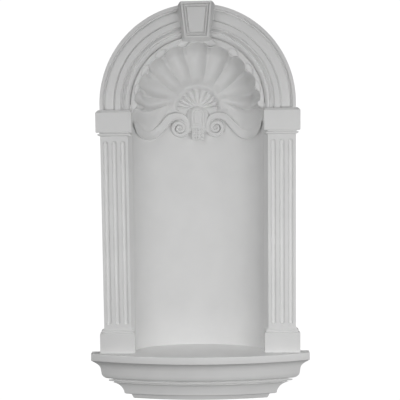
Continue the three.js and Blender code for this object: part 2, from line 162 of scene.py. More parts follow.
# %% [markdown]
# Most of the mouldings are drawn by a running template: one section is carried along a path. In
# mesh terms that is a loft, a stack of rings with the same number of points, joined ring to ring
# and capped at both ends. A real casting has no knife edges, so sections and stacks are softened
# first: each corner is swapped for a tiny curve of a given radius.

# %% Loft and softened corners
def loft(name, rings, mirror=False):
    count = len(rings[0])
    points = [p for ring in rings for p in ring]
    faces = []
    for i in range(len(rings) - 1):
        for j in range(count):
            a = i * count + j
            b = i * count + (j + 1) % count
            faces.append((a, b, b + count, a + count))
    last = (len(rings) - 1) * count
    faces.append(tuple(range(count - 1, -1, -1)))
    faces.append(tuple(last + j for j in range(count)))
    return closed_body(name, points, faces, mirror)


CORNER_STEPS = 2


def soften(levels, radius):
    levels = [np.asarray(p, dtype=float) for p in levels]
    made = [levels[0]]
    for before, here, after in zip(levels, levels[1:], levels[2:]):
        back, ahead = before - here, after - here
        reach = min(radius, 0.45 * np.linalg.norm(back), 0.45 * np.linalg.norm(ahead))
        start = here + back / max(np.linalg.norm(back), 1e-9) * reach
        end = here + ahead / max(np.linalg.norm(ahead), 1e-9) * reach
        for k in range(CORNER_STEPS + 1):
            t = k / CORNER_STEPS
            made.append((1 - t) ** 2 * start + 2 * t * (1 - t) * here + t * t * end)
    made.append(levels[-1])
    return made


def quarter(start, end, elbow, steps):
    start, end, elbow = (np.asarray(p, dtype=float) for p in (start, end, elbow))
    made = []
    for i in range(steps + 1):
        t = i / steps * math.pi / 2
        from_start, to_end = 1 - math.sin(t), 1 - math.cos(t)
        made.append(from_start * start + to_end * end + (1 - from_start - to_end) * elbow)
    return made


print("a right-angled corner becomes", len(soften([(0, 0), (5, 0), (5, 5)], 1)), "points")

# %% [markdown]
# The arch moulding runs from capital to capital. Its section goes inwards from an outer fillet over
# a wide sunk band, a raised fascia, a groove with a sharp edge and a narrow fillet to a round that
# falls to the lip of the shell. The section is written as pairs of radius and height above the
# wall, softened, and carried round a half circle. A short leg at each end starts in the capital.

# %% Arch moulding
ARCH_STEPS = 128


def arch_sweep(name, section, leg_end):
    rings = [[(-r, -p, leg_end) for r, p in section]]
    for i in range(ARCH_STEPS + 1):
        a = math.pi * (1 - i / ARCH_STEPS)
        rings.append([(r * math.cos(a), -p, ARCH_Z + r * math.sin(a)) for r, p in section])
    rings.append([(r, -p, leg_end) for r, p in section])
    return loft(name, rings)


R, P = ARCH_OUTER, ARCH_PROUD
arch_section = soften(
    [
        (R, 0),
        (R, P),
        (R - 7.6, P),
        (R - 9, P - 11),
        *quarter((R - 11, P - 12), (R - 17.5, P - 7.6), (R - 13, P - 7.8), 5),
        (R - 22, P - 7.1),
        *quarter((R - 28, P - 7.4), (R - 34.2, P - 10), (R - 32.5, P - 7.8), 5),
        (R - 35.2, P - 10.2),
        (R - 37.2, P - 2.8),
        (R - 48.6, P - 2.8),
        (R - 51, P - 11),
        (R - 53, P - 11),
        (R - 53.8, P - 8.6),
        (R - 59, P - 2.6),
        (R - 60.2, P - 2.8),
        (R - 61.4, P - 6.2),
        (R - 62.4, P - 6.2),
        (R - 63.4, P - 5),
        (R - 65, P - 5),
        *quarter((R - 65, P - 5), (R - 72, -1), (R - 71.5, P - 6), 6),
        (R - 76, -1.5),
        (R - 76, -4),
        (R - 62, -4),
        (R - 62, 0),
    ],
    0.5,
)
arch = arch_sweep("arch moulding", arch_section, CAPITAL_TOP + 1)

# %% [markdown]
# A pilaster is a flat column: plinth, base mould, fluted shaft, neck mould and capital. It could
# be three boxes, but the mouldings between them turn the corners, so it is lofted upwards instead.
# Each level names its height, its outer and inner edges and how far it stands out. The three
# flutes are then cut with long round-ended bars, just as a router with a round bit would do it.

# %% Joining and cutting
def carve(piece, other, how):
    step = piece.modifiers.new("carve", "BOOLEAN")
    step.operation = how
    step.solver = "MANIFOLD"
    step.object = other
    seen = piece.evaluated_get(bpy.context.evaluated_depsgraph_get())
    made = bpy.data.meshes.new_from_object(seen)
    piece.modifiers.remove(step)
    old = piece.data
    piece.data = made
    bpy.data.meshes.remove(old)
    bpy.data.meshes.remove(other.data)
    return piece


# %% A turned body
def turned(name, profile, centre, direction, segments):
    """A body turned from (radius, along) pairs that start and end on the axis."""
    along = Vector(direction).normalized()
    side = along.orthogonal().normalized()
    other = along.cross(side)
    points, faces = [], []
    rings = []
    for radius, reach in profile:
        if radius < 1e-6:
            points.append(tuple(Vector(centre) + along * reach))
            rings.append([len(points) - 1] * segments)
            continue
        row = []
        for k in range(segments):
            a = 2 * math.pi * k / segments
            spot = Vector(centre) + along * reach
            spot = spot + side * (radius * math.cos(a)) + other * (radius * math.sin(a))
            points.append(tuple(spot))
            row.append(len(points) - 1)
        rings.append(row)
    for low, high in zip(rings, rings[1:]):
        for k in range(segments):
            corner = [low[k], low[(k + 1) % segments], high[(k + 1) % segments], high[k]]
            face = [v for i, v in enumerate(corner) if v not in corner[:i]]
            if len(face) > 2:
                faces.append(tuple(face))
    return closed_body(name, points, faces)


# %% Pilasters
PILASTER_CORNER = 0.9


def pilaster(side, name):
    o, i, p, b = BLOCK_OUTER, OPENING_HALF - 0.3, BLOCK_PROUD, CAPITAL_BEVEL
    levels = soften(
        [
            (-1, o, i, p),
            (PLINTH_TOP, o, i, p),
            (PLINTH_TOP + 2, o - 1.6, i + 1.6, p - 1.6),
            (PLINTH_TOP + 2.4, o - 5.2, i + 5.2, p - 5.2),
            (PLINTH_TOP + 4, o - 5.2, i + 5.2, p - 5.2),
            (PLINTH_TOP + 4.4, o - 3.8, i + 3.8, p - 3.8),
            (SHAFT_BOTTOM - 4.6, o - 3.8, i + 3.8, p - 3.8),
            (SHAFT_BOTTOM - 4, o - 6.4, i + 6, p - 5.6),
            (SHAFT_BOTTOM, SHAFT_OUTER, SHAFT_INNER, SHAFT_PROUD),
            (SHAFT_TOP, SHAFT_OUTER, SHAFT_INNER, SHAFT_PROUD),
            (SHAFT_TOP + 0.4, o - 10.4, i + 9, p - 7.8),
            (SHAFT_TOP + 2.4, o - 4.4, i + 4.4, p - 3.4),
            (CAPITAL_BOTTOM - 4.2, o - 4, i + 4, p - 3.2),
            (CAPITAL_BOTTOM - 3.6, o - 8, i + 8, p - 8),
            (CAPITAL_BOTTOM - 0.4, o - 8, i + 8, p - 8),
            (CAPITAL_BOTTOM, o, i, p),
            (CAPITAL_TOP, o, i, p),
            (CAPITAL_TOP + b, o - b, i + 0.6 * b, p - b),
        ],
        0.45,
    )
    c = PILASTER_CORNER
    rings = []
    for z, outer, inner, proud in levels:
        ring = [(outer + 0.4, 0), (outer, -proud + c), (outer - 0.3 * c, -proud + 0.3 * c)]
        ring += [(outer - c, -proud), (inner + c, -proud), (inner + 0.3 * c, -proud + 0.3 * c)]
        ring += [(inner, -proud + c), (min(inner, OPENING_HALF), 0)]
        rings.append([(side * x, y, z) for x, y in ring])
    body = loft(name, rings)
    radius = (FLUTE_WIDTH**2 / 4 + FLUTE_DEPTH**2) / (2 * FLUTE_DEPTH)
    half = (FLUTE_TOP - FLUTE_BOTTOM) / 2 - FLUTE_WIDTH / 2
    for k in (-1, 0, 1):
        x = side * ((SHAFT_OUTER + SHAFT_INNER) / 2 + k * FLUTE_PITCH)
        turn = [math.radians(10 * n) for n in range(10)]
        profile = [(radius * math.sin(t), -half - radius * math.cos(t)) for t in turn]
        profile += [(r, -reach) for r, reach in reversed(profile)]
        centre = (x, -SHAFT_PROUD - radius + FLUTE_DEPTH, (FLUTE_TOP + FLUTE_BOTTOM) / 2)
        carve(body, turned("flute bar", profile, centre, (0, 0, 1), 48), "DIFFERENCE")
    return body


pilaster_left = pilaster(-1, "left pilaster")
pilaster_right = pilaster(1, "right pilaster")

# %% [markdown]
# The keystone is a wedge that flares towards the wall, with a small framed panel on its face. All
# of it is one stack of rings: every ring says how far it is set in from the edge, how far it stands
# out and how much it flares. The flare is smaller at the foot, and above the shoulders, where the
# stone stands clear of the arch. The frame lines of the panel come from steps in that stack.

# %% Keystone
KEY_CORNER = 0.5


def keystone_ring(inset, proud, out):
    slope = (KEY_TOP_HALF - KEY_BOTTOM_HALF) / (KEY_TOP - KEY_BOTTOM)
    top_out = min(out, KEY_TOP_FLARE)

    def corner(z, flare):
        return KEY_BOTTOM_HALF + (z - KEY_BOTTOM) * slope - inset + flare

    top, foot = KEY_TOP - inset + top_out, KEY_BOTTOM + inset - out * 0.35
    shoulder = KEY_TOP - KEY_SHOULDER - inset
    c = KEY_CORNER
    low = corner(foot, out * KEY_FOOT_SHARE)
    right = [(low - c, foot), (low, foot + c)]
    right += [(corner(shoulder, out), shoulder), (corner(top, top_out), top - c)]
    right += [(corner(top, top_out) - c, top)]
    return [(x, -proud, z) for x, z in right + [(-x, z) for x, z in reversed(right)]]


P = KEY_PROUD
keystone_levels = soften(
    [
        (0, 0, KEY_FLARE),
        (0, P, 0),
        (3.8, P, 0),
        (4.6, P - 5.4, 0),
        (6.8, P - 5.4, 0),
        (7.4, P - 0.6, 0),
        (9.4, P - 0.6, 0),
        (10, P - 5.4, 0),
        (12.2, P - 5.4, 0),
        (12.9, P - 1.2, 0),
        (15.5, P - 1.2, 0),
    ],
    0.5,
)
keystone = loft("keystone", [keystone_ring(*level) for level in keystone_levels])

# %% [markdown]
# The shelf is a bowed cornice. All its mouldings share one centre, far behind the wall, so a single
# section turned about that centre and then trimmed by the wall gives the narrower lower steps for
# free. The section is written from the front edge backwards: how far set back, how far down. The
# dark lines below the slab and on both sides of the lower fillet are grooves that hold a shadow.

# %% Shelf
SHELF_STEPS = 112
SHELF_SWEEP = math.radians(25)
shelf_section = soften(
    [
        (40, 0),
        (1.2, 0),
        (0, 1.2),
        (0, 17),
        (1.5, 17.8),
        (19, 17.2),
        (19, 19.8),
        *quarter((15.5, 20.4), (33.6, 45), (33.6, 20.4), 10),
        *quarter((34, 52), (40.4, 67.4), (34, 67.4), 8),
        (43.4, 67.6),
        (43.4, 69.4),
        (40, 69.8),
        (40.2, 73.6),
        (44, 74),
        (44.6, 76.4),
        *quarter((42.6, 77), (51.7, 104), (51.2, 78), 10),
        (52.6, 105.4),
        (56.3, 106.6),
        (57.6, SHELF_HEIGHT),
        (SHELF_RUN, SHELF_HEIGHT),
        (SHELF_RUN, 0),
    ],
    0.7,
)
shelf_rings = []
for step in range(SHELF_STEPS + 1):
    a = SHELF_SWEEP * (2 * step / SHELF_STEPS - 1)
    shelf_rings.append(
        [
            ((SHELF_RADIUS - d) * math.sin(a), SHELF_CENTRE - (SHELF_RADIUS - d) * math.cos(a), -down)
            for d, down in shelf_section
        ]
    )
shelf = loft("shelf", shelf_rings)


# %% Trim the shelf by the wall and at its ends
def block(name, low, high):
    corners = [(x, y, z) for x in (low[0], high[0]) for y in (low[1], high[1])
               for z in (low[2], high[2])]
    faces = [(0, 1, 3, 2), (4, 6, 7, 5), (0, 4, 5, 1), (2, 3, 7, 6), (0, 2, 6, 4), (1, 5, 7, 3)]
    return closed_body(name, corners, faces)


trim = block("room for the shelf", (-SHELF_HALF, -200, -SHELF_HEIGHT - 5), (SHELF_HALF, 0, 5))
carve(shelf, trim, "INTERSECT")
print("shelf after trimming:", len(shelf.data.polygons), "faces")


# %% [markdown]
# Behind the opening the casting is a bowed wall with a domed head, which nobody sees once it is
# built in, so it stays plain. The wall is a loft of its floor plan. The dome is turned about an
# axis that points into the wall, and is thicker than the wall because the shell is cut into it.
# Its rim steps forward into the arch moulding, so that no slit is left behind the arch.

# %% Back of the recess
def bowed(s, half, depth):
    """Depth at s from the middle of a half oval that wide and deep."""
    return depth * math.sqrt(max(0.0, 1 - (s / half) ** 2))


def recess_y(s):
    return bowed(s, OPENING_HALF, RECESS_DEPTH)


half, deep = OPENING_HALF + WALL, RECESS_DEPTH + WALL
turns = [math.pi / 2 * (step / 40 - 1) for step in range(81)]
plan = [(half * math.sin(a), deep * math.cos(a)) for a in turns]
plan[0], plan[-1] = (-half, 0), (half, 0)
plan += [(half, -3), (-half, -3)]
recess = loft("recess", [[(x, y, z) for x, y in plan] for z in (-FLOOR_THICK, ARCH_Z)])

half, deep = half + SHELL_BACKING, deep + SHELL_BACKING
foot = ARCH_OUTER - 64
dome_profile = [(0, -1), (foot, -1), (foot, 3), (half, 3)]
for step in range(29):
    a = math.pi / 2 * (1 - step / 28)
    dome_profile.append((half * math.sin(a), -deep * math.cos(a)))
dome_profile[-1] = (0, -deep)
dome = turned("dome", dome_profile, (0, 0, ARCH_Z), (0, -1, 0), 112)
carve(recess, dome, "UNION")

# %% Hollow out the plain part of the recess
plan = []
for step in range(121):
    a = math.pi / 2 * (step / 60 - 1)
    plan.append((OPENING_HALF * math.sin(a), RECESS_DEPTH * math.cos(a)))
plan += [(SHAFT_INNER + 4, -25), (-SHAFT_INNER - 4, -25)]
hollow = loft("hollow", [[(x, y, z) for x, y in plan] for z in (0, FAN_Z)])
carve(recess, hollow, "DIFFERENCE")
print("recess:", len(recess.data.polygons), "faces")


# %% [markdown]
# The shell head is eleven scooped lobes that spread from a small fan. Sculpting would do, but a
# formula keeps the lobes even: a point is given by its direction and distance from the fan, and
# its depth is the bowed wall plus a channel across each lobe. Towards the scalloped edge the floor
# turns up like the end of a spoon. The fan is written into the same formula, with short flutes, a
# knobbly rim and a step up where each flute ends. The lowest ribs sag on their way to the rim, and
# below them lies a shallow hollow like an ear. Two short tables give where both run.

# %% Lobes of the shell
def smooth(value, low, high):
    t = min(1.0, max(0.0, (value - low) / (high - low)))
    return t * t * (3 - 2 * t)


def lobe_at(angle):
    a = abs(angle)
    if a <= RIB_ANGLES[0]:
        return a / RIB_ANGLES[0]
    for low, high in zip(RIB_ANGLES, RIB_ANGLES[1:]):
        if a <= high:
            half_lobe = (high - low) / 2
            return (a - low - half_lobe) / half_lobe
    return 1.0


FINGER = 0.8


def scallop(angle):
    across = min(1.0, abs(lobe_at(angle)) / FINGER)
    return SCALLOP_CUSP + (SCALLOP_TIP - SCALLOP_CUSP) * math.sqrt(1 - across**2)


def opening_at(angle):
    a = math.radians(angle)
    if abs(angle) >= 90:
        return OPENING_HALF / abs(math.sin(a))
    rise = ARCH_Z - FAN_Z
    c = rise * math.cos(a)
    return c + math.sqrt(c * c + OPENING_HALF**2 - rise**2)


def bowl_y(angle, rho):
    if abs(angle) > 90:
        return recess_y(rho * abs(math.sin(math.radians(angle))))
    return recess_y(rho * OPENING_HALF / opening_at(angle))


print("scalloped edge from", SCALLOP_CUSP, "to", round(scallop(0), 1), "mm round the fan's middle")

# %% The little fan
FLUTE_TIPS = [-88, -74, -59, -42, -22, 0, 22, 42, 59, 74, 88]
FAN_EDGE, FAN_SIDE = 80, 106
FAN_RISE, FAN_RIM, FAN_FLUTE_DEPTH = 5.5, 57.5, 6.5


def fan_height(angle, rho):
    if rho > FAN_EDGE or abs(angle) > FAN_SIDE:
        return 0.0
    nearest = min(FLUTE_TIPS, key=lambda tip: abs(tip - angle))
    spread = 10.5 if abs(nearest) < 30 else 8.5 if abs(nearest) < 50 else 7.2
    across = min(1.0, abs(angle - nearest) / spread)
    body = FAN_RISE * (1 - smooth(rho, 64, FAN_EDGE))
    flute = FAN_FLUTE_DEPTH * smooth(rho, 6, 42) * (1 - smooth(rho, 48, 53)) * (1 - across**2) ** 0.8
    flute += 3 * math.exp(-(((rho - 48) / 3.2) ** 2)) * (1 - across**2)
    knob = 0.5 + 0.5 * math.cos(math.radians((angle + 3) * 15))
    rim = (4 + 1.8 * knob) * math.exp(-(((rho - FAN_RIM - 1.5 * knob) / 5.5) ** 2))
    sides = 1 - smooth(abs(angle), 92, FAN_SIDE)
    return (body - flute + rim) * sides


print("fan's rim stands", round(fan_height(0, FAN_RIM), 1), "mm out of the bowl")

# %% Depth of the shell
SAG = [(60, -7), (74, -6), (95, 1), (116, 5.5), (130, 5), (142, 0), (200, 0)]
EAR = [(60, 94), (74, 97), (84, 101.5), (102, 110), (114, 112), (126, 110), (143, 104), (160, 100)]
EAR_DEPTH = 7.5
LOBE_START, LOBE_FULL = 52, 112
HOLLOW_EXTRA, HOLLOW_AT, HOLLOW_REACH = 5.5, 128, 13


def stepped(table, at):
    return float(np.interp(at, [row[0] for row in table], [row[1] for row in table]))


def shell_y(angle, rho):
    grow = smooth(rho, LOBE_START, LOBE_FULL)
    a = abs(angle)
    rib = RIB_ANGLES[4] + stepped(SAG, rho)
    floor = bowl_y(angle, rho) - fan_height(angle, rho)
    if a < rib:
        fixed = RIB_ANGLES[2]
        squeezed = a if a < fixed else fixed + (a - fixed) * (RIB_ANGLES[4] - fixed) / (rib - fixed)
        u = min(1.0, abs(lobe_at(squeezed)) / (1 - (1 - FINGER) * smooth(rho, 100, 136)))
        channel = (1 - u * u) * 0.75 + math.cos(math.pi * u / 2) ** 2 * 0.25
        hollow_end = HOLLOW_EXTRA * math.exp(-(((rho - HOLLOW_AT) / HOLLOW_REACH) ** 2))
        return floor + (LOBE_DEPTH * grow + hollow_end) * channel
    reach = (a - rib) / (stepped(EAR, rho) - rib)
    if reach > 1:
        return floor - 0.8 * smooth(reach, 1, 1.2)
    ear = math.sin(math.pi * reach**0.55) ** 1.2
    return floor + EAR_DEPTH * smooth(rho, 64, 92) * ear


print("middle lobe at its deepest:", round(shell_y(0, HOLLOW_AT) - bowl_y(0, HOLLOW_AT), 1), "mm")

# %% Cut the shell
SPOON = 13
EAR_END = 116
CUTTER_FRONT = -60


def shell_cutter():
    ribs = sorted([-a for a in RIB_ANGLES[:-1]] + RIB_ANGLES[:-1])
    angles = [float(a) for a in np.linspace(-EAR_END, ribs[0], 19)[:-1]]
    for low, high in zip(ribs, ribs[1:]):
        angles += [low + (high - low) * (0.5 - 0.5 * math.cos(math.pi * k / 16)) * 0.5
                   + (high - low) * k / 32 for k in range(16)]
    angles += [float(a) for a in np.linspace(ribs[-1], EAR_END, 19)]
    points = [(0, shell_y(0, 0), FAN_Z), (0, CUTTER_FRONT, FAN_Z)]
    columns = []
    for angle in angles:
        a = math.radians(angle)
        below = smooth(abs(angle), RIB_ANGLES[4], 96)
        rim = scallop(angle) * (1 - below) + (OPENING_HALF - 1) / abs(math.sin(a) or 1) * below
        spoon = SPOON * (1 - below) + 2 * below
        stops = list(np.arange(3, 66, 1.6)) + list(np.linspace(68, rim - spoon, 22))
        column = [(rho, shell_y(angle, rho)) for rho in stops]
        for k in range(1, 11):
            s = math.sin(math.pi / 2 * k / 10)
            rho = rim - spoon + spoon * s
            floor = shell_y(angle, min(rho, rim - 2))
            column.append((rho, floor * math.sqrt(max(0.0, 1 - s**2))))
        column.append((rim + 0.4, -LIP_PROUD - 1))
        column.append((rim + 0.4, CUTTER_FRONT))
        row = []
        for rho, y in column:
            points.append((rho * math.sin(a), y, FAN_Z + rho * math.cos(a)))
            row.append(len(points) - 1)
        columns.append(row)
    faces = []
    last = len(columns[0]) - 1
    for c, d in zip(columns, columns[1:]):
        faces.append((0, d[0], c[0]))
        faces += [(c[j], d[j], d[j + 1], c[j + 1]) for j in range(last)]
        faces.append((1, c[last], d[last]))
    first, final = columns[0], columns[-1]
    faces += [(1, first[j], first[j + 1]) for j in range(last)]
    faces += [(1, final[j + 1], final[j]) for j in range(last)]
    faces += [(1, 0, first[0]), (1, final[0], 0)]
    return closed_body("shell cutter", points, faces)


# %% [markdown]
# Round the shell runs a rolled lip. Its inner edge is scalloped with a fine raised line, and over
# each cusp lies an almond-shaped hollow. The lip is another height formula on rings of points,
# with spare width inwards, so that the shell cutter trims it and the lobes to the same line.

# %% Lip with almond hollows
LIP_CREST = 5.4
ALMOND_DEPTH = 4.4


def lip_outer(angle):
    a = math.radians(abs(angle))
    rise = ARCH_Z - FAN_Z
    c = rise * math.cos(a)
    rho = c + math.sqrt(c * c + LIP_OUTER**2 - rise**2)
    return rho if rho * math.cos(a) > rise else LIP_OUTER / math.sin(a)


def lip_proud(angle, rho):
    rim = scallop(angle) if abs(angle) < RIB_ANGLES[4] else SCALLOP_CUSP + 1.5
    inner, outer = rho - rim, lip_outer(angle) - rho
    high = LIP_CREST - 1.2 * max(0.0, 1 - inner / 1.2) ** 2 - 2.4 * max(0.0, 1 - outer / 3.5) ** 2
    high += 1.2 * math.exp(-(((inner - 1.8) / 1.4) ** 2))
    cusp = min(RIB_ANGLES[:5], key=lambda edge: abs(edge - abs(angle)))
    tall = (lip_outer(angle) - SCALLOP_CUSP - 6.5) / 2
    long = min(16, 1.6 * tall + 5)
    along = math.radians(abs(angle) - cusp) * rho / long
    if abs(along) < 1 and cusp < RIB_ANGLES[4]:
        across = (rho - (SCALLOP_CUSP + lip_outer(angle)) / 2) / (tall * (1 - along**2) + 1e-6)
        high -= ALMOND_DEPTH * max(0.0, 1 - across**2) ** 0.3 * smooth(1 - abs(along), 0, 0.15)
    return high


LIP_END = 95.2
LIP_ROUNDING = 91.2
ROUNDING_REACH = 4.05


def lip():
    angles = [float(a) for a in np.linspace(-LIP_END, LIP_END, 300)]
    rings = []
    for angle in angles:
        a = math.radians(angle)
        low, high = scallop(angle) - 4, lip_outer(angle)
        if abs(angle) > RIB_ANGLES[4]:
            low = SCALLOP_CUSP - 1
        past = max(0.0, abs(angle) - LIP_ROUNDING)
        close = math.sqrt(max(0.0, 1 - (past / ROUNDING_REACH) ** 2))
        middle, share = (low + high) / 2, max(close, 0.25)
        low, high = middle + (low - middle) * share, middle + (high - middle) * share
        ring = [(low, 9)]
        for q in np.linspace(0, 1, 31):
            rho = low + (high - low) * q
            ring.append((rho, -lip_proud(angle, rho) * close + (1 - close) * 2))
        ring.append((high, 9))
        rings.append([(rho * math.sin(a), y, FAN_Z + rho * math.cos(a)) for rho, y in ring])
    return loft("lip", rings)


recess = carve(recess, lip(), "UNION")
recess = carve(recess, shell_cutter(), "DIFFERENCE")
print("recess with shell:", len(recess.data.polygons), "faces")


# %% [markdown]
# On the back of the recess, under the fan, sits a bracket between two scrolls whose long arms
# sweep out to the sides. They are raised work: a band whose section changes along its path. Near
# the curl the section is a rounded strap, and further out it opens to a scoop with a sharp lower
# rim. A smooth curve through a few points gives the path, and mirroring gives the other side.

# %% A band along a path
def through(points, steps):
    """Catmull-Rom curve through points, as steps + 1 rows."""
    rows = [np.asarray(p, dtype=float) for p in points]
    rows = [2 * rows[0] - rows[1]] + rows + [2 * rows[-1] - rows[-2]]
    spans = len(points) - 1
    made = []
    for k in range(steps + 1):
        at = min(k / steps * spans, spans - 1e-9)
        i, t = int(at), at - int(at)
        a, b, c, d = rows[i : i + 4]
        made.append(0.5 * (2 * b + (c - a) * t + (2 * a - 5 * b + 4 * c - d) * t**2
                           + (3 * b - a - 3 * c + d) * t**3))
    return made


def band(name, path, sections, mirror=False):
    """path rows are x, z, lift, half width, height; sections gives [across, up] pairs."""
    rings = []
    for i, (x, z, lift, wide, tall) in enumerate(path):
        before, after = path[max(0, i - 1)], path[min(len(path) - 1, i + 1)]
        way = Vector((after[0] - before[0], after[1] - before[1])).normalized()
        ring = []
        for u, h in sections(i / (len(path) - 1)):
            px, pz = x - way.y * u * wide, z + way.x * u * wide
            ring.append((px, recess_y(px) - lift - (h * tall if h >= 0 else h), pz))
        rings.append(ring)
    return loft(name, rings, mirror)


STRAP = [(-1, -7), (-1, 0.45), (-0.92, 0.82), (-0.7, 1), (-0.35, 0.94), (0.1, 0.88), (0.5, 0.92)]
STRAP += [(0.8, 1), (0.95, 0.7), (1, 0.2), (1, -7)]
SCOOP = [(-1, -7), (-1, 0.75), (-0.97, 0.95), (-0.88, 1), (-0.74, 0.86), (-0.4, 0.52), (0.1, 0.3)]
SCOOP += [(0.55, 0.2), (0.85, 0.12), (1, 0), (1, -7)]


def arm_section(t):
    w = smooth(t, 0.45, 0.72)
    return [(a[0] * (1 - w) + b[0] * w, a[1] * (1 - w) + b[1] * w) for a, b in zip(STRAP, SCOOP)]


print("strap and scoop sections with", len(STRAP), "and", len(SCOOP), "points")

# %% Scrolls and their arms
SCROLL_X, SCROLL_Z, SCROLL_SIZE = 45, 541, 21.5
ARM = [
    (-1, -21.5, 3.2, 6),
    (-16, -13.5, 4.2, 9),
    (-20.5, 5, 5.2, 10),
    (-14.5, 22, 6.6, 10.5),
    (0, 29, 8.6, 10.5),
    (21, 25.5, 9.6, 10.5),
    (41, 5, 10, 11),
    (59, -12.5, 11, 13),
    (75, -18.5, 11.5, 15),
    (90, -12, 9.5, 15),
    (99, 1, 6.5, 14),
    (104, 14, 4, 12),
]


def scroll(mirror, name):
    arm = []
    for x, z, wide, tall in through(ARM, 170):
        arm.append((SCROLL_X + x, SCROLL_Z + z, 0, wide, tall))
    body = band(name, arm, arm_section, mirror)
    curl = []
    for k in range(121):
        t = k / 120
        a = math.radians(90 - 600 * t)
        r = SCROLL_SIZE * (0.16 + 0.7 * t)
        x, z = SCROLL_X + r * math.cos(a), SCROLL_Z + r * math.sin(a)
        curl.append((x, z, 5 - 2 * t, 3 + 2.2 * t, 9.5 - 1.5 * t))
    carve(body, band("curl", curl, lambda t: STRAP, mirror), "UNION")
    dish = [(0, 5.2), (5, 5.2), (8, 4.4), (15, 4), (19, 3), (21.5, 0), (22, -8), (0, -8)]
    centre = (SCROLL_X * (-1 if mirror else 1), recess_y(SCROLL_X) - 3, SCROLL_Z)
    carve(body, turned("dish", dish, centre, (0, -1, 0), 48), "UNION")
    return body


scroll_right = scroll(False, "right scroll")
scroll_left = scroll(True, "left scroll")

# %% [markdown]
# The bracket between the scrolls has a round hood with a sunk line, a flat band, three columns of
# small beads and a rolled foot. The hood, and a low web behind it that fills the gap to the scrolls,
# are stacks of one outline, an upright with a half round top, set in further at every step. The rest
# is made of soft-edged blocks and small turned bodies.

# %% Bracket
BRACKET_TOP, BRACKET_BAND, BRACKET_FOOT, BRACKET_PROUD = 592, 544, 511, 18
HOOD_HALF, BAND_HALF, PANEL_HALF = 17.2, 17.5, 14.5
WEB_TOP, WEB_FOOT, WEB_HALF = 596, 529, 28
BEAD_RADIUS, BEAD_ACROSS, BEAD_DOWN = 3.1, 8.4, 6.6


def hooded(name, top, foot, half_width, steps):
    """steps are (set in, proud) pairs of an upright outline with a round top."""
    rings = []
    for inset, proud in steps:
        w = half_width - inset
        ring = [(w * math.cos(a), top - half_width + w * math.sin(a))
                for a in np.linspace(0, math.pi, 25)]
        ring += [(-w, foot + inset), (w, foot + inset)]
        rings.append([(x, RECESS_DEPTH - proud, z) for x, z in ring])
    return loft(name, rings)


def soft_block(name, low, high, radius):
    body = block(name, low, high)
    form = bmesh.new()
    form.from_mesh(body.data)
    bmesh.ops.bevel(form, geom=list(form.edges), offset=radius / 1000, segments=3,
                    profile=0.5, affect="EDGES", clamp_overlap=True)
    form.to_mesh(body.data)
    form.free()
    return body


P = BRACKET_PROUD
hood_steps = soften([(0, -5), (0, P - 3), (3.4, P), (5.6, P), (6.6, P - 2.2), (8.2, P - 2.2),
                     (9.4, P - 0.6), (12, P - 0.2)], 0.7)
bracket = hooded("bracket", BRACKET_TOP, BRACKET_BAND - 2, HOOD_HALF, hood_steps)
front = RECESS_DEPTH - P
web = soften([(0, -5), (0, 4), (4, 8), (8, 10.4), (12, 11.4)], 2)
carve(bracket, hooded("web behind the bracket", WEB_TOP, WEB_FOOT, WEB_HALF, web), "UNION")
carve(bracket, soft_block("bracket band", (-BAND_HALF, front + 1, BRACKET_BAND - 4),
                          (BAND_HALF, RECESS_DEPTH + 4, BRACKET_BAND + 1), 1.2), "UNION")
carve(bracket, soft_block("beaded panel", (-PANEL_HALF, front + 3, BRACKET_FOOT + 3),
                          (PANEL_HALF, RECESS_DEPTH + 4, BRACKET_BAND - 2), 1.5), "UNION")
bead = [(BEAD_RADIUS * math.sin(math.radians(t)), BEAD_RADIUS * math.cos(math.radians(t)))
        for t in range(0, 181, 15)]
for column in (-1, 0, 1):
    for row in range(4):
        spot = (column * BEAD_ACROSS, front + 3.2, BRACKET_BAND - 8.2 - row * BEAD_DOWN)
        carve(bracket, turned("bead", bead, spot, (0, -1, 0), 16), "UNION")
roll = [(0, -14.5), (3.4, -14.5), (4.6, -13), (5, -11), (5, 11), (4.6, 13), (3.4, 14.5), (0, 14.5)]
carve(bracket, turned("bracket foot", roll, (0, RECESS_DEPTH - 7, BRACKET_FOOT + 5), (1, 0, 0), 24),
      "UNION")
print("bracket:", len(bracket.data.polygons), "faces")

# %% [markdown]
# Now the bodies become one casting. Each one overlaps its neighbours a little, so the union has no
# gaps. Afterwards the faces are shaded smooth, and the edges that turn sharply stay crisp. Larger
# faces that lie square to the frame are left flat, or the soft edges beside them would shade them.

# %% One casting
casting = recess
casting.name = "niche_casting"
for body in (scroll_right, scroll_left, bracket, arch, pilaster_left, pilaster_right, shelf, keystone):
    carve(casting, body, "UNION")
form = bmesh.new()
form.from_mesh(casting.data)
bmesh.ops.remove_doubles(form, verts=form.verts, dist=5e-6)
bmesh.ops.dissolve_degenerate(form, edges=form.edges, dist=2e-6)
bmesh.ops.triangulate(form, faces=[f for f in form.faces if len(f.verts) > 4])
loose = sum(1 for e in form.edges if not e.is_manifold)
print("casting:", len(form.faces), "faces,", loose, "open edges,",
      sum(len(f.verts) - 2 for f in form.faces), "triangles")
CREASE = math.radians(34)
SQUARE_TO_FRAME, LARGE_FACE = 0.999999, 1e-5
for edge in form.edges:
    edge.smooth = edge.is_manifold and edge.calc_face_angle(0) < CREASE
for face in form.faces:
    squared = max(abs(v) for v in face.normal) > SQUARE_TO_FRAME
    face.smooth = not (squared and face.calc_area() > LARGE_FACE)
form.to_mesh(casting.data)
form.free()

# %% [markdown]
# The casting is sold primed: a thin, dead matte white coat over a dense cast core. Up close such a
# coat has a fine grain and faint clouding where it dried unevenly, and the cast ground under it is
# never quite flat. A low noise for tone, one for roughness and two small bumps are enough. All of
# them are procedural and sit in the casting's own space, so they stay put when the view changes.

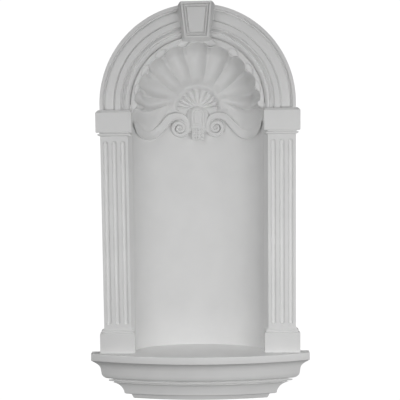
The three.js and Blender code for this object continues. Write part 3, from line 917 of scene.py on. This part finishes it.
# %% Primed white finish
def primed_white():
    finish = bpy.data.materials.new("primed_white")
    finish.use_nodes = True
    nodes, links = finish.node_tree.nodes, finish.node_tree.links
    shader = nodes["Principled BSDF"]
    shader.inputs["IOR"].default_value = 1.42
    space = nodes.new("ShaderNodeTexCoord")
    cloud = nodes.new("ShaderNodeTexNoise")
    cloud.inputs["Scale"].default_value = 14
    cloud.inputs["Detail"].default_value = 5
    tone = nodes.new("ShaderNodeValToRGB")
    tone.color_ramp.elements[0].position, tone.color_ramp.elements[1].position = 0.3, 0.7
    tone.color_ramp.elements[0].color = (0.775, 0.775, 0.772, 1)
    tone.color_ramp.elements[1].color = (0.81, 0.81, 0.806, 1)
    grain = nodes.new("ShaderNodeTexNoise")
    grain.inputs["Scale"].default_value = 900
    grain.inputs["Detail"].default_value = 3
    rough = nodes.new("ShaderNodeMapRange")
    rough.inputs["To Min"].default_value = 0.62
    rough.inputs["To Max"].default_value = 0.78
    swell = nodes.new("ShaderNodeBump")
    swell.inputs["Strength"].default_value = 0.12
    swell.inputs["Distance"].default_value = 0.0015
    pores = nodes.new("ShaderNodeBump")
    pores.inputs["Strength"].default_value = 0.1
    pores.inputs["Distance"].default_value = 0.0002
    for texture in (cloud, grain):
        links.new(space.outputs["Object"], texture.inputs["Vector"])
    links.new(cloud.outputs["Fac"], tone.inputs["Fac"])
    links.new(tone.outputs["Color"], shader.inputs["Base Color"])
    links.new(grain.outputs["Fac"], rough.inputs["Value"])
    links.new(rough.outputs["Result"], shader.inputs["Roughness"])
    links.new(cloud.outputs["Fac"], swell.inputs["Height"])
    links.new(grain.outputs["Fac"], pores.inputs["Height"])
    links.new(swell.outputs["Normal"], pores.inputs["Normal"])
    links.new(pores.outputs["Normal"], shader.inputs["Normal"])
    return finish


casting.data.materials.clear()
casting.data.materials.append(primed_white())
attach(casting, "root")
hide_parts("niche")
print("finish:", casting.data.materials[0].name)

# %% [markdown]
# The stage is a pale floor well below the niche and an even white surround, which gives almost no
# light itself, so that the hollows keep their shade. The light is a studio's for white mouldings:
# three soft lights close in front, stronger on the right, larger ones further off above and to the
# sides, and two behind for the back of the casting.

# %% Floor and surround
FLOOR_DROP, FLOOR_HALF = 1.25, 4


def plain_floor():
    mesh = bpy.data.meshes.new("floor")
    z, half = solid_low[2] - FLOOR_DROP, FLOOR_HALF
    mesh.from_pydata([(-half, -half, z), (half, -half, z), (half, half, z), (-half, half, z)], [],
                     [(0, 1, 2, 3)])
    floor = bpy.data.objects.new("floor", mesh)
    bpy.context.scene.collection.objects.link(floor)
    paint = bpy.data.materials.new("floor_white")
    paint.use_nodes = True
    shader = paint.node_tree.nodes["Principled BSDF"]
    shader.inputs["Base Color"].default_value = (0.9, 0.9, 0.9, 1)
    shader.inputs["Roughness"].default_value = 0.9
    mesh.materials.append(paint)
    return floor


floor = plain_floor()
print("floor at z =", round(solid_low[2] - FLOOR_DROP, 3))

scene = bpy.context.scene
scene.view_settings.view_transform = "Standard"
scene.view_settings.look = "None"
world = bpy.data.worlds.new("surround")
scene.world = world
world.use_nodes = True
nodes, links = world.node_tree.nodes, world.node_tree.links
backdrop = nodes["Background"]
backdrop.inputs["Color"].default_value = (1, 1, 1, 1)
backdrop.inputs["Strength"].default_value = 0.005
shown = nodes.new("ShaderNodeBackground")
shown.inputs["Color"].default_value = (1, 1, 1, 1)
shown.inputs["Strength"].default_value = 1.05
rays = nodes.new("ShaderNodeLightPath")
choose = nodes.new("ShaderNodeMixShader")
links.new(rays.outputs["Is Camera Ray"], choose.inputs["Fac"])
links.new(backdrop.outputs["Background"], choose.inputs[1])
links.new(shown.outputs["Background"], choose.inputs[2])
links.new(choose.outputs["Shader"], nodes["World Output"].inputs["Surface"])


# %% Soft lights
def soft_light(name, turn, lift, size, power, away=3.0, aim=(0, 0, -0.4)):
    """A square light at a turn to the right of the front and a lift above its aim, in degrees."""
    a, b = math.radians(turn), math.radians(lift)
    way = Vector((math.sin(a) * math.cos(b), -math.cos(a) * math.cos(b), math.sin(b)))
    lamp = bpy.data.lights.new(name, "AREA")
    lamp.size = size
    lamp.energy = power
    light = bpy.data.objects.new(name, lamp)
    light.location = Vector(aim) + way * away
    light.visible_camera = False
    light.rotation_euler = way.to_track_quat("Z", "Y").to_euler()
    bpy.context.scene.collection.objects.link(light)
    print(name, "at", [round(v, 2) for v in light.location], power, "W")


MIDDLE = (0, 0, -0.75)
NEAR_SIZE, NEAR_AWAY, FAR_SIZE = 0.5, 1.1, 1.2
soft_light("near right light", 30, 10, NEAR_SIZE, 4.6, NEAR_AWAY, MIDDLE)
soft_light("near left light", -30, 10, NEAR_SIZE, 2.15, NEAR_AWAY, MIDDLE)
soft_light("near left top light", -30, 35, NEAR_SIZE, 0.6, NEAR_AWAY, MIDDLE)
soft_light("far left top light", -20, 50, FAR_SIZE, 9.6)
soft_light("far left light", -45, 25, FAR_SIZE, 5.7)
soft_light("far right light", 45, 0, FAR_SIZE, 8)
soft_light("top light", 0, 80, FAR_SIZE, 5)
soft_light("back right light", 150, 35, FAR_SIZE, 24)
soft_light("back left light", -140, 10, FAR_SIZE, 10)

# %% [markdown]
# The camera stands in front of the niche, a little to the right of its middle and just above the
# middle of its height, so the shelf top shows as a thin crescent. Its place was worked out from
# where the corners of the frame fall in the picture, with a slight lens shift for the framing.

# %% Camera
CAMERA_TURN, CAMERA_LIFT, CAMERA_ROLL = 2.206, 5.648, -0.779
CAMERA_AWAY, FOCAL_PIXELS = 2.1733, 901.0
CAMERA_AIM = Vector((-0.06255, 0, (238.926 - ORIGIN_Z) / 1000))
CENTRE_U, CENTRE_V = 173.006, 253.474
PICTURE_SIDE, SENSOR = 400, 36

turn, lift, roll = (math.radians(v) for v in (CAMERA_TURN, CAMERA_LIFT, CAMERA_ROLL))
back = Vector((math.sin(turn) * math.cos(lift), -math.cos(turn) * math.cos(lift), math.sin(lift)))
lens = bpy.data.cameras.new("camera")
lens.sensor_width = SENSOR
lens.lens = FOCAL_PIXELS * SENSOR / PICTURE_SIDE
lens.shift_x = (PICTURE_SIDE / 2 - CENTRE_U) / PICTURE_SIDE
lens.shift_y = (CENTRE_V - PICTURE_SIDE / 2) / PICTURE_SIDE
camera = bpy.data.objects.new("camera", lens)
camera.location = CAMERA_AIM + back * CAMERA_AWAY
facing = (-back).to_track_quat("-Z", "Y").to_matrix()
right, up = facing.col[0].copy(), facing.col[1].copy()
tilted = facing.copy()
tilted.col[0] = right * math.cos(roll) + up * math.sin(roll)
tilted.col[1] = up * math.cos(roll) - right * math.sin(roll)
camera.rotation_euler = tilted.to_euler()
bpy.context.scene.collection.objects.link(camera)
bpy.context.scene.camera = camera
print("camera at", [round(v, 3) for v in camera.location], "lens", round(lens.lens, 1), "mm")
